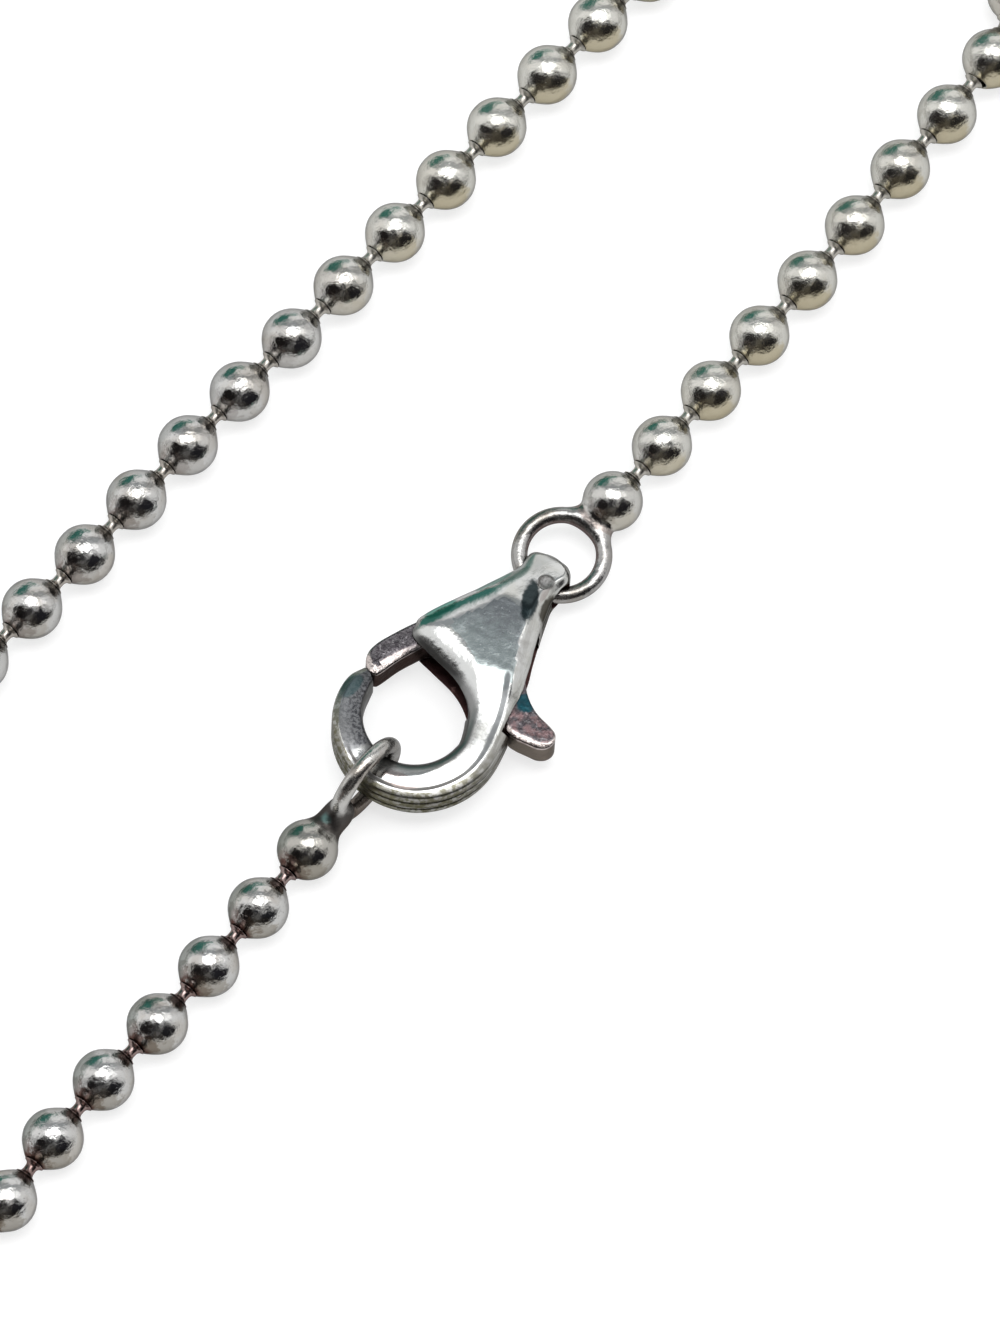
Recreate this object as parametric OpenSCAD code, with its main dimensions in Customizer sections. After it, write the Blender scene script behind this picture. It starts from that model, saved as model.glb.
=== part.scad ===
// Ball chain necklace with a sprung claw clasp, lying on a table.
// The chain is one closed loop. The clasp joins its two ends near the middle of one side.
// Millimetres, +Z up, the table at z = 0, the origin under the middle of the loop's outline.

/* [Chain] */
// Outer diameter of a ball
ball_d = 3; // [2.8:0.1:3.2]
// Thickness of a ball's wall
ball_wall = 0.3; // [0.25:0.05:0.35]
// Radius of the holes that the bars pass through
ball_hole_r = 0.46; // [0.42:0.02:0.48]
// Radius of a bar between its heads
bar_r = 0.3; // [0.24:0.02:0.32]
// Radius of the round heads of a bar
head_r = 0.49; // [0.48:0.01:0.5]
// Number of bars from the first ball round to the last
bar_count = 121; // [119:1:123]

/* [End rings] */
// Outer diameter of a jump ring
ring_d = 5; // [4.9:0.1:5.2]
// Diameter of a jump ring's wire
ring_wire = 0.82; // [0.78:0.02:0.84]
// Distance from the bail ring's centre to its soldered ball
bail_ring_reach = 3.8; // [3.75:0.05:3.85]
// Distance on the table from the hook ring's centre to its soldered ball
hook_ring_reach = 4.3; // [4.25:0.05:4.35]

/* [Clasp] */
// Thickest part of the clasp
clasp_thick = 3.2; // [3:0.1:3.4]
// Radius of the hook's centre line
hook_r = 3.4; // [3.35:0.05:3.45]
// Width of the slot that the lever works in
slot_w = 1.9; // [1.8:0.05:2]
// Thickness of the lever
lever_t = 1.7; // [1.6:0.05:1.7]
// Radius of the lever's pin
pin_r = 0.45; // [0.4:0.01:0.46]
// Radius of the drilled hole in the bail
bail_hole_r = 0.76; // [0.74:0.01:0.78]
// Angle by which the hook end is lifted off the table
clasp_tilt = 4; // [3.8:0.1:4.2]

/* [Hidden] */
$fn = 48;
// Longer than anything that a cut goes through
through = 8;

// Route of the chain on the table, from the ball at the bail round to the ball at the hook
route = [
    // x, y
    [10.3, 1.4], [20, 1.5], [29.3, 1.7], [35, 2], [40.8, 2.2], [44.6, 3.5], [47.3, 6.4], [48.2, 10.2],
    [47.3, 14], [44.6, 16.9], [40.8, 18.2], [35, 18.4], [29, 18.7], [15, 19], [0, 19.4], [-12.6, 19.6],
    [-30, 20.6], [-53, 23.2], [-77, 27.4], [-101, 31.8], [-125, 34.4], [-148, 31.8], [-165.4, 20.6],
    [-171.8, 3], [-165.6, -14.8], [-149, -26.4], [-127, -29.6], [-104, -25], [-82, -16], [-62, -7],
    [-46, -1.3], [-33, 0.7], [-23, 0.7], [-13.4, 1]
];
route_steps = 24;

// A point between two points of the route, on the smooth curve through them all
function route_end(i) = i < 0 ? 2 * route[0] - route[1]
    : i > len(route) - 1 ? 2 * route[len(route) - 1] - route[len(route) - 2] : route[i];
function curve_point(p0, p1, p2, p3, t) =
    p1 + t * (p2 - p0) / 2
    + t * t * (2 * p0 - 5 * p1 + 4 * p2 - p3) / 2
    + t * t * t * (3 * p1 - p0 - 3 * p2 + p3) / 2;
curve = [
    for (i = [0 : len(route) - 2], k = [0 : route_steps - 1])
        curve_point(route_end(i - 1), route_end(i), route_end(i + 1), route_end(i + 2), k / route_steps),
    route[len(route) - 1]
];
// Length of the curve up to each of its points
steps = [for (i = [1 : len(curve) - 1]) norm(curve[i] - curve[i - 1])];
run = [for (i = 0, s = 0; i < len(curve); s = s + (i < len(steps) ? steps[i] : 0), i = i + 1) s];
run_x = [for (i = [0 : len(curve) - 1]) [run[i], curve[i].x]];
run_y = [for (i = [0 : len(curve) - 1]) [run[i], curve[i].y]];
pitch = run[len(run) - 1] / bar_count;
laid = [for (k = [0 : bar_count]) [lookup(k * pitch, run_x), lookup(k * pitch, run_y)]];

// The origin goes under the middle of the loop's outline
laid_x = [for (p = laid) p.x];
laid_y = [for (p = laid) p.y];
middle = [max(laid_x) + min(laid_x), max(laid_y) + min(laid_y)] / 2;
ball_r = ball_d / 2;
balls = [for (p = laid) [p.x - middle.x, p.y - middle.y, ball_r]];
last = bar_count;

// Direction of the chain at each ball, as an angle on the table and as a vector
function heading(k) = let (d = balls[min(k + 1, last)] - balls[max(k - 1, 0)]) atan2(d.y, d.x);
function flat(angle) = [cos(angle), sin(angle), 0];
// Where a bar passes through the wall of ball k, ahead (side 1) or behind (side -1)
function door(k, side) = balls[k] + side * (ball_r - ball_wall / 2) * flat(heading(k));
// A head lies this far inside the ball's wall, clear of the head of the next bar
head_gap = 0.1;
head_in = ball_r - ball_wall / 2 - head_r - head_gap / 2;

// Rings: the wire's centre line, and the directions from each soldered ball to its ring
wire_r = ring_wire / 2;
ring_r = ring_d / 2 - wire_r;
bail_ring_heading = 178.5;
hook_ring_heading = -1;
bail_ring_z = 1.42;
bail_ring_at = balls[0] + bail_ring_reach * flat(bail_ring_heading) + [0, 0, bail_ring_z - ball_r];
hook_ring_at = balls[last] + hook_ring_reach * flat(hook_ring_heading) + [0, 0, ring_d / 2 - ball_r];
// The bail ring leans a little off the table's plane, and the hook ring stands upright across the hook
bail_ring_lean = 4;
bail_ring_lean_heading = -50;
hook_ring_turn = 1;
// Solder between the bail ring and its ball: a short bar across the joint
bail_solder_r = 0.4;
bail_solder_l = 1.5;
// Solder neck between the hook ring and its ball: a cone that starts this far from the ball's middle
hook_solder_from = 1;
hook_solder_r_ball = 1.05;
hook_solder_r_ring = 0.5;

// The clasp's own frame: x across it to the thumb tab's side, y along it to the bail, z its top face
clasp_heading = 11.7;
clasp_at = [-8.5 - middle.x, -1.06 - middle.y, 2.32];
module in_clasp_frame() {
    translate(clasp_at) rotate([0, 0, clasp_heading - 90]) rotate([-clasp_tilt, 0, 0]) children();
}

// Cross-section of the clasp: how far across it is from the inner to the outer edge, and how high
section = [
    // across, height
    [0, 0], [0.03, 0.42], [0.12, 0.74], [0.32, 0.93], [0.58, 1],
    [0.72, 0.95], [0.87, 0.7], [0.97, 0.36], [1, 0]
];
section_ring = concat(section, [for (i = [len(section) - 2 : -1 : 1]) [section[i].x, -section[i].y]]);

// Sections from the bail down to the hook, each from its outer edge to its inner one
body_stations = [
    // outer x, outer y, inner x, inner y, share of the full thickness
    [1.15, 14.6, -0.35, 14.62, 0.5],
    [1.42, 14.38, -0.58, 14.46, 0.72],
    [1.5, 13.8, -0.76, 13.9, 0.82],
    [1.42, 13.2, -0.98, 13.4, 0.84],
    [1.4, 12.6, -1.35, 12.7, 0.82],
    [1.5, 11.9, -1.85, 11.9, 0.88],
    [1.72, 10.8, -2.5, 10.8, 0.96],
    [2, 9.6, -3.3, 9.6, 1],
    [2.2, 8.9, -3.75, 8.8, 1],
    [2.35, 8.2, -4.05, 8, 0.96],
    [2.48, 7.7, -3.6, 7.25, 0.92],
    [2.6, 7.2, -2.3, 6.75, 0.9],
    [2.75, 6.5, -0.95, 6.25, 0.9],
    [2.92, 5.7, 0.1, 5.6, 0.89],
    [3.04, 4.8, 0.7, 4.85, 0.88]
];
// The hook is an arc that goes on from there, round its own centre, to the nose
hook_centre = [-1.33, 3.7];
hook_turn = 199;
hook_steps = 16;
// Width across the hook, and share of the full thickness, each after its angle round the arc
hook_width = [[0, 2.05], [60, 2.05], [90, 1.95], [130, 1.7], [180, 1.35], [192, 1.15], [199, 0.8]];
hook_height = [[0, 0.86], [60, 0.74], [90, 0.63], [115, 0.62], [180, 0.62], [192, 0.56], [199, 0.4]];
hook_stations = [
    for (i = [0 : hook_steps])
        let (turn = hook_turn * i / hook_steps, w = lookup(turn, hook_width), out = [cos(turn), -sin(turn)])
        let (outer = hook_centre + (hook_r + w / 2) * out, inner = hook_centre + (hook_r - w / 2) * out)
        [outer.x, outer.y, inner.x, inner.y, lookup(turn, hook_height)]
];
stations = concat(body_stations, hook_stations);

// The lever's pin
pin_at = [0.3, 10.3];
pin_l = 2.7;
press_gap = 0.02;
pin_end_gap = 0.03;
running_gap = 0.05;
// The lever's outline: the gate, round the pin, the thumb tab, and back inside the slot
lever_outline = [
    // x, y
    [-4.95, 5.33], [-5.13, 5.8], [-4.75, 6.8], [-4, 8.05], [-3.25, 9], [-2.35, 9.9], [-0.9, 11],
    [0.3, 11.4], [1.1, 11.05], [1.45, 10.1],
    [2, 8.6], [2.72, 7.5], [3.58, 6.8], [4.8, 6.35], [5.08, 6.05],
    [5.08, 5.65], [4.85, 5.3], [4.4, 5.12], [2.8, 5.2],
    [1.9, 6.4], [0.9, 7.6], [-0.6, 8.2], [-2, 7.9], [-2.8, 7.4], [-3.2, 6.8], [-3.65, 6], [-4.2, 4.65]
];
// The slot is open to the left for the gate, to the right for the tab, and down into the hook's eye
slot_outline = [
    // x, y
    [-6, 6.1], [-6, 8.75], [-4, 8.75], [-3.2, 9.25], [-2.4, 10.1], [-0.97, 11.15], [0.3, 11.58], [1.3, 11.22],
    [1.75, 10.6], [6, 10.6], [6, 5], [2.4, 5], [0.4, 4.7], [-2, 5.6], [-4, 6.1]
];
// Middle of the drilled hole across the bail
bail_hole_at = [0.35, 13.46];
bail_hole_turn = -7;
// The nose ends on this slant, clear of the gate's tip
nose_cut_at = [-4.66, 4.89];
nose_cut_turn = -44;
nose_cut_l = 3;

// A round body about the middle of ball k, turned so that its poles are where the ball is drilled
module ball_round(k, r) {
    translate(balls[k]) rotate([0, 90, heading(k)]) sphere(r = r);
}

// A hollow ball of the chain with its two holes
module ball(k) {
    difference() {
        ball_round(k, ball_r);
        ball_round(k, ball_r - ball_wall);
        translate(balls[k]) rotate([0, 90, heading(k)]) cylinder(r = ball_hole_r, h = through, center = true);
    }
}

module bar(k) {
    start = door(k, 1);
    reach = door(k + 1, -1) - start;
    translate(start) rotate([0, 90, atan2(reach.y, reach.x)]) {
        translate([0, 0, -head_in]) cylinder(r = bar_r, h = norm(reach) + 2 * head_in);
        for (z = [-head_in, norm(reach) + head_in]) translate([0, 0, z]) sphere(r = head_r);
    }
}

module jump_ring() {
    rotate_extrude() translate([ring_r, 0]) circle(r = wire_r);
}

module chain_balls() {
    color("silver") for (k = [1 : last - 1]) ball(k);
}

module chain_bars() {
    color("rosybrown") for (k = [0 : last - 1]) bar(k);
}

module clasp_end_ring() {
    color("lightgrey") difference() {
        union() {
            translate(bail_ring_at)
                rotate([0, 0, bail_ring_lean_heading]) rotate([bail_ring_lean, 0, 0]) jump_ring();
            ball_round(0, ball_r);
            translate((balls[0] * (bail_ring_reach - ball_r) + bail_ring_at * ball_r) / bail_ring_reach)
                rotate([90, 0, bail_ring_heading]) bail_solder();
        }
        ball_round(0, ball_r - ball_wall);
        translate(balls[0]) rotate([0, 90, heading(0)]) cylinder(r = ball_hole_r, h = ball_d);
    }
}

// A round bar with round ends
module bail_solder() {
    cylinder(r = bail_solder_r, h = bail_solder_l, center = true);
    for (z = [-0.5, 0.5] * bail_solder_l) translate([0, 0, z]) sphere(r = bail_solder_r);
}

module hook_end_ring() {
    toward = hook_ring_at - balls[last];
    solder_l = norm(toward) - ring_r - hook_solder_from;
    color("grey") difference() {
        union() {
            translate(hook_ring_at) rotate([90, 0, hook_ring_turn]) jump_ring();
            ball_round(last, ball_r);
            translate(balls[last]) rotate([0, acos(toward.z / norm(toward)), hook_ring_heading])
                translate([0, 0, hook_solder_from])
                    cylinder(r1 = hook_solder_r_ball, r2 = hook_solder_r_ring, h = solder_l);
        }
        ball_round(last, ball_r - ball_wall);
        translate(balls[last]) rotate([0, -90, heading(last)]) cylinder(r = ball_hole_r, h = ball_d);
    }
}

// The cast claw before it is slotted and drilled, lofted through its sections
module claw() {
    n = len(section_ring);
    points = [
        for (s = stations, p = section_ring) [
            s[2] + (s[0] - s[2]) * p.x,
            s[3] + (s[1] - s[3]) * p.x,
            s[4] * clasp_thick / 2 * p.y
        ]
    ];
    sides = [
        for (i = [0 : len(stations) - 2], j = [0 : n - 1])
            let (a = i * n + j, b = i * n + (j + 1) % n)
            each [[a, b, a + n], [b, b + n, a + n]]
    ];
    bail_end = [[for (j = [n - 1 : -1 : 0]) j]];
    nose_end = [[for (j = [0 : n - 1]) (len(stations) - 1) * n + j]];
    polyhedron(points, concat(sides, bail_end, nose_end));
}

module clasp_body() {
    color("silver") in_clasp_frame() difference() {
        claw();
        translate([0, 0, -slot_w / 2]) linear_extrude(slot_w) polygon(slot_outline);
        translate([pin_at.x, pin_at.y, 0])
            cylinder(r = pin_r + press_gap, h = pin_l + 2 * pin_end_gap, center = true);
        translate([bail_hole_at.x, bail_hole_at.y, 0])
            rotate([0, 90, bail_hole_turn]) cylinder(r = bail_hole_r, h = through, center = true);
        translate([nose_cut_at.x, nose_cut_at.y, 0])
            rotate([0, 0, nose_cut_turn]) translate([-nose_cut_l / 2, 0, -through / 2])
                cube([nose_cut_l, nose_cut_l / 2, through]);
    }
}

module clasp_lever() {
    color("dimgrey") in_clasp_frame() difference() {
        translate([0, 0, -lever_t / 2]) linear_extrude(lever_t) polygon(lever_outline);
        translate([pin_at.x, pin_at.y, 0]) cylinder(r = pin_r + running_gap, h = through, center = true);
    }
}

module lever_pin() {
    color("grey") in_clasp_frame()
        translate([pin_at.x, pin_at.y, 0]) cylinder(r = pin_r, h = pin_l, center = true);
}

chain_balls();
chain_bars();
clasp_end_ring();
hook_end_ring();
clasp_body();
clasp_lever();
lever_pin();
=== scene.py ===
import math

import bmesh
import bpy
import numpy as np
from mathutils import Matrix, Vector
from mathutils.kdtree import KDTree


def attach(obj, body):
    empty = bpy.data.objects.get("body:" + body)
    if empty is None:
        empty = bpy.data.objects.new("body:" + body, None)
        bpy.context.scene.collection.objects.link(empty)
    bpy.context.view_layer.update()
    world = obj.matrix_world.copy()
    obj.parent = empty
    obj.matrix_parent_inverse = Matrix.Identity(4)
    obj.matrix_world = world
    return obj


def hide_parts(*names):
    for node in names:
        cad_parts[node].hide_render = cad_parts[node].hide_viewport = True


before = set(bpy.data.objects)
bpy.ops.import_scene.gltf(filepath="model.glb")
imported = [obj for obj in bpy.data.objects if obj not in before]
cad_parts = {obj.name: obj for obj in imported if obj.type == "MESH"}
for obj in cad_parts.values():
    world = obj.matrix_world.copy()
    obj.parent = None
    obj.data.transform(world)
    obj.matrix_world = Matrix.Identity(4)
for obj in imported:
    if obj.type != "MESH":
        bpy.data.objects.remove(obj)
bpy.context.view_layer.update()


# ---- Balls ----
# The chain's balls are hollow, 3 mm across, pressed from thin silver strip and closed round the
# bars that link them, so each has a small rolled lip about its two holes. They are polished, and
# years of wear have left a thin uneven tarnish in brown and grey. The brown, grey, green and olive
# tints on the same side of every ball are painted reflections.
MM = 0.001
ball_r = 1.5
ball_wall = 0.3
end_balls = {"clasp": Vector((72.1, -0.993, 1.5)), "hook": Vector((48.4, -1.393, 1.5))}


def solid_middles(node):
    """The middle of each loose solid of a CAD node, in millimetres."""
    work = bmesh.new()
    work.from_mesh(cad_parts[node].data)
    bmesh.ops.remove_doubles(work, verts=work.verts, dist=1e-6)
    left, middles = set(work.verts), []
    while left:
        front = [left.pop()]
        solid = list(front)
        while front:
            near = {e.other_vert(v) for v in front for e in v.link_edges} & left
            left -= near
            front = list(near)
            solid += front
        places = np.array([v.co for v in solid])
        middles.append(Vector((places.min(0) + places.max(0)) / 2) / MM)
    work.free()
    return middles


def laid_in_order(middles, first, last):
    """The same places, walked along the chain from its first ball to its last."""
    walk, left = [first], list(middles)
    while left:
        near = min(left, key=lambda p: (p - walk[-1]).length)
        left.remove(near)
        walk.append(near)
    return walk + [last]


def lathe(profile, segments, closed):
    """Points and faces of a profile of (radius, height) pairs, turned about the x axis."""
    turns = [2 * math.pi * k / segments for k in range(segments)]
    points = [(z, r * math.cos(t), r * math.sin(t)) for r, z in profile for t in turns]
    rings = len(profile)
    faces = [
        (i * segments + j, ((i + 1) % rings) * segments + j,
         ((i + 1) % rings) * segments + (j + 1) % segments, i * segments + (j + 1) % segments)
        for i in range(rings if closed else rings - 1) for j in range(segments)
    ]
    if not closed:
        faces.append(tuple(range(segments)))
        faces.append(tuple(reversed(range((rings - 1) * segments, rings * segments))))
    return np.array(points), faces


def smooth_piece(name, points, faces):
    """A smooth-shaded object from points in millimetres, its faces turned outwards."""
    mesh = bpy.data.meshes.new(name)
    mesh.from_pydata([tuple(p) for p in np.asarray(points) * MM], [], faces)
    work = bmesh.new()
    work.from_mesh(mesh)
    bmesh.ops.recalc_face_normals(work, faces=work.faces)
    if work.calc_volume(signed=True) < 0:
        bmesh.ops.reverse_faces(work, faces=work.faces)
    work.to_mesh(mesh)
    work.free()
    mesh.shade_smooth()
    piece = bpy.data.objects.new(name, mesh)
    bpy.context.collection.objects.link(piece)
    return piece


def laid_along(start, end):
    """The turn that lays the x axis of a turned part along the way from one place to another."""
    way = (end - start).normalized()
    side = Vector((0, 0, 1)).cross(way).normalized()
    return np.array([way, side, way.cross(side)])


def by_hole(aside):
    """How near its hole a point of a ball is, from 0 to 1, by its distance from the line of the bars."""
    return np.clip((0.95 - aside) / 0.5, 0, 1)


middles = laid_in_order(solid_middles("chain_balls"), end_balls["clasp"], end_balls["hook"])

# Half of the outside of a ball from its lip to its widest: distance from the line of the bars, and
# along it from the ball's middle
lip = [(0.44, 1.2), (0.43, 1.42), (0.445, 1.485), (0.5, 1.51), (0.565, 1.485), (0.65, 1.425), (0.76, 1.335),
       (0.89, 1.225)]
arc = [(ball_r * math.sin(math.radians(a)), ball_r * math.cos(math.radians(a))) for a in range(44, 81, 6)]
shell_r = ball_r - ball_wall
inside = [(shell_r * math.sin(math.radians(a)), shell_r * math.cos(math.radians(a)))
          for a in (150, 120, 90, 60, 30)]
half = lip + arc
ball_profile = half + [(ball_r, 0)] + [(r, -z) for r, z in reversed(half)] + inside
round_a_ball = 32
ball_points, ball_faces = lathe(ball_profile, round_a_ball, True)
by_bar = by_hole(np.hypot(ball_points[:, 1], ball_points[:, 2]))
points, faces = [], []
for before, here, after in zip(middles, middles[1:], middles[2:]):
    faces += [tuple(i + len(points) * len(ball_points) for i in face) for face in ball_faces]
    points.append(ball_points @ laid_along(before, after) + np.array(here))
balls = smooth_piece("chain_balls_polished", np.concatenate(points), faces)
layer = balls.data.attributes.new("by_bar", "FLOAT", "POINT")
layer.data.foreach_set("value", np.tile(by_bar, len(points)).astype(np.float32))


class Wire:
    """A socket's value, so that the maths of a finish reads as a plain expression."""

    def __init__(self, finish, socket):
        self.finish, self.socket = finish, socket

    def maths(self, operation, *values):
        """A Math node on values, which may be sockets or numbers."""
        return self.finish.node("ShaderNodeMath", {"operation": operation}, dict(enumerate(values)))

    def __add__(self, other):
        return self.maths("ADD", self, other)

    def __sub__(self, other):
        return self.maths("SUBTRACT", self, other)

    def __rsub__(self, other):
        return self.maths("SUBTRACT", other, self)

    def __mul__(self, other):
        return self.maths("MULTIPLY", self, other)

    def __truediv__(self, other):
        return self.maths("DIVIDE", self, other)

    def __pow__(self, other):
        return self.maths("POWER", self, other)

    def __abs__(self):
        return self.maths("ABSOLUTE", self)

    __radd__, __rmul__ = __add__, __mul__


class Finish:
    """A node tree for a metal's finish, or for the light of the studio."""

    def __init__(self, tree):
        self.tree = tree
        tree.nodes.clear()

    def node(self, kind, settings=None, sockets=None, out=0):
        """Adds a node of that kind: its settings first, then the values or links of its sockets."""
        made = self.tree.nodes.new(kind)
        for key, value in (settings or {}).items():
            setattr(made, key, value)
        for key, value in (sockets or {}).items():
            if isinstance(value, Wire):
                self.tree.links.new(value.socket, made.inputs[key])
            else:
                made.inputs[key].default_value = value
        return Wire(self, made.outputs[out]) if made.outputs else made

    def place(self):
        """Where a point of the piece is, in millimetres."""
        at = self.node("ShaderNodeTexCoord", out=3)
        return self.node("ShaderNodeVectorMath", {"operation": "SCALE"}, {0: at, "Scale": 1 / MM})

    def noise(self, at, scale, detail=4.0, rough=0.55, twist=0.0):
        """Clouds from 0 to 1, finer with more scale."""
        return self.node("ShaderNodeTexNoise", {}, {
            "Vector": at, "Scale": scale, "Detail": detail, "Roughness": rough, "Distortion": twist})

    def step(self, value, low, high):
        """0 below low, 1 above high, and smooth between them."""
        return self.node("ShaderNodeMapRange", {"interpolation_type": "SMOOTHSTEP"}, {
            "Value": value, "From Min": low, "From Max": high})

    def split(self, at):
        """The x, y and z of a place."""
        return [self.node("ShaderNodeSeparateXYZ", {}, {0: at}, out=i) for i in range(3)]

    def far_from(self, at, place):
        """How far one place is from another."""
        return self.node("ShaderNodeVectorMath", {"operation": "DISTANCE"}, {0: at, 1: place}, out=1)

    def share_of(self, way, axis):
        """How much of a direction points along an axis."""
        return self.node("ShaderNodeVectorMath", {"operation": "DOT_PRODUCT"}, {0: way, 1: axis}, out=1)

    def carried(self, name):
        """A value that the mesh carries at each of its points."""
        return self.node("ShaderNodeAttribute", {"attribute_name": name}, out=2)

    def mix(self, share, one, other):
        """The one colour where share is 0, and the other where it is 1."""
        return self.node("ShaderNodeMix", {"data_type": "RGBA"}, {0: share, 6: one, 7: other}, out=2)


def metal(name, plain, warm, dark, dull, grain, speckle=0.5, marks=None):
    """A silver finish: its plain colour, a warm tarnish in patches, and dark specks and stains.

    The least roughness is dull, and grain is the strength of its fine dents. What marks adds comes last.
    """
    material = bpy.data.materials.new(name)
    material.use_nodes = True
    f = Finish(material.node_tree)
    at = f.place()
    patches = f.step(f.noise(at, 0.45, 3.0, 0.6, 0.4), 0.42, 0.68)
    stains = f.step(f.noise(at, 0.9, 3.0, 0.6, 0.3), 0.58, 0.78)
    specks = f.step(f.noise(at, 7.0, 3.0, 0.6), 0.62, 0.72)
    colour = f.mix(patches * 0.7, plain, warm)
    colour = f.mix(stains * 0.4 + specks * speckle * 0.5, colour, dark)
    rough = stains * 0.08 + specks * 0.1 + f.noise(at, 2.5) * 0.06 + dull
    if marks:
        colour, rough = marks(f, at, colour, rough)
    dents = f.noise(at, 11.0, 4.0, 0.6) * 0.35 + f.noise(at, 1.5, 2.0) * 2.0
    bump = f.node("ShaderNodeBump", {}, {
        "Strength": grain, "Distance": 0.05 * MM, "Height": dents})
    surface = f.node("ShaderNodeBsdfPrincipled", {}, {
        "Base Color": colour, "Metallic": 1.0, "Roughness": rough, "Normal": bump,
        "Specular Tint": (0.4, 0.4, 0.4, 1)})
    f.node("ShaderNodeOutputMaterial", {}, {"Surface": surface})
    return material


# Painted reflections on each ball: brown, grey and green on the side that faces each way
ball_side_reflections = [
    # the way that side faces, spread, colour, amount
    ((-0.955, -0.18, 0.23), 0.22, (0.075, 0.043, 0.037, 1), 0.9),
    ((-0.86, 0.39, 0.34), 0.1, (0.12, 0.08, 0.07, 1), 0.6),
    ((-0.66, -0.68, 0.33), 0.2, (0.19, 0.17, 0.135, 1), 0.6),
    ((-0.2, 0.95, 0.3), 0.35, (0.14, 0.17, 0.15, 1), 0.5),
]


def ball_marks(f, at, colour, rough):
    """Brown rings round the holes, and painted reflections on the same side of each ball, heavier towards
    the hook's end.
    """
    ragged = f.noise(at, 1.9, 5.0, 0.7) - 0.5
    across, along, _ = f.split(at)
    # The strand on the far side of the clasp is cleaner, and its painted reflections are paler
    worn = (1 - f.step(across, 52, 70) * 0.65) * (1 - f.step(along, 2, 8) * 0.45)
    facing = f.node("ShaderNodeNewGeometry", out=1)
    # Painted reflections: each ball is tinted on the side that faces each listed way, the same side on
    # every ball
    for way, spread, tint, amount in ball_side_reflections:
        turned = f.share_of(facing, Vector(way).normalized())
        side = f.step(turned + ragged * 0.6, 1 - spread, 1 - spread * 0.5)
        colour = f.mix(side * worn * amount, colour, tint)
    ring = f.step(f.carried("by_bar") + ragged * 0.9, 0.25, 0.8)
    # Past the clasp the balls are lighter, with an olive painted reflection on the same side of each
    right = f.step(across, 66, 80)
    colour = f.mix(right * 0.5, colour, (0.54, 0.53, 0.47, 1))
    # Painted reflection: an olive tint on the side facing down and to the left
    turned = f.share_of(facing, Vector((-0.6, -0.72, 0.35)).normalized())
    olive = f.step(turned + ragged * 0.5, 0.66, 0.88) * right
    colour = f.mix(olive * 0.7, colour, (0.36, 0.31, 0.19, 1))
    colour = f.mix(ring * worn * worn * 0.9, colour, (0.08, 0.045, 0.038, 1))
    return colour, rough + f.step(across, 70, 82) * 0.1


balls.data.materials.append(metal(
    "polished_ball", plain=(0.45, 0.448, 0.44, 1), warm=(0.37, 0.345, 0.31, 1), dark=(0.12, 0.1, 0.09, 1),
    dull=0.06, grain=0.65, speckle=0.9, marks=ball_marks))
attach(balls, "necklace")
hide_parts("chain_balls")


# ---- Bars ----
# A short bar of drawn wire joins each pair of balls. It is upset to a head inside each ball, which
# keeps it in, and it widens a little where it leaves the ball. Its tarnish is pinker than the balls'.

# Half of a bar, out from its middle: radius, distance from the middle. It flares where it leaves the
# ball, and the last four pairs are the head.
bar_half = [(0.3, 0), (0.3, 0.1), (0.315, 0.18), (0.35, 0.25), (0.42, 0.31), (0.5, 0.345), (0.53, 0.365),
            (0.5, 0.382), (0.4, 0.4), (0.37, 0.45), (0.35, 0.56), (0.3, 0.66), (0.3, 0.8), (0.42, 1.1),
            (0.49, 1.35), (0.42, 1.6), (0.12, 1.8)]
bar_profile = [(r, -z) for r, z in reversed(bar_half[1:])] + bar_half
round_a_bar = 14
bar_points, bar_faces = lathe(bar_profile, round_a_bar, False)
points, faces = [], []
for here, after in zip(middles, middles[1:]):
    faces += [tuple(i + len(points) * len(bar_points) for i in face) for face in bar_faces]
    points.append(bar_points @ laid_along(here, after) + np.array((here + after) / 2))
bars = smooth_piece("chain_bars_drawn", np.concatenate(points), faces)


def bar_marks(f, at, colour, rough):
    """Towards the clasp's end of the chain the bars are rubbed grey, and so are those across from it."""
    across, along, _ = f.split(at)
    near, far = f.step(across, 60, 76), f.step(along, 2, 8) * f.step(across, 30, 50) * 0.75
    rubbed = near + far - near * far
    return f.mix(rubbed * 0.85, colour, (0.42, 0.41, 0.37, 1)), rough + rubbed * 0.15


bars.data.materials.append(metal(
    "warm_bar", plain=(0.24, 0.185, 0.175, 1), warm=(0.17, 0.115, 0.105, 1), dark=(0.06, 0.035, 0.03, 1),
    dull=0.12, grain=0.4, marks=bar_marks))
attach(bars, "necklace")
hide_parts("chain_bars")


# ---- Ring at the clasp end ----
# A jump ring of round wire, 5 mm across, lies nearly flat and goes through the clasp's bail. It is
# soldered to the last ball, and the solder runs out to both sides of the joint in a wide fillet.
wire_r = 0.41
ring_r = 2.09
hole_r = 0.44
# The rolled lip about a soldered ball's hole: how far out, how far along, how thick
lip_out, lip_along, lip_r = 0.5, 1.42, 0.055


def hard_cut(one, other, soft):
    """The larger of two distances, its edge rounded over a width of soft."""
    h = np.clip(0.5 + 0.5 * (one - other) / soft, 0, 1)
    return other + (one - other) * h + soft * h * (1 - h)


def melt(one, other, soft):
    """The smaller of two distances, the two forms run together over a width of soft."""
    return -hard_cut(-one, -other, soft)


def torus(at, middle, axis):
    """Distances to a ring of the wire."""
    off = at - np.array(middle)
    up = off @ np.array(axis)
    out = np.linalg.norm(off - up[..., None] * np.array(axis), axis=-1) - ring_r
    return np.hypot(out, up) - wire_r


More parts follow.
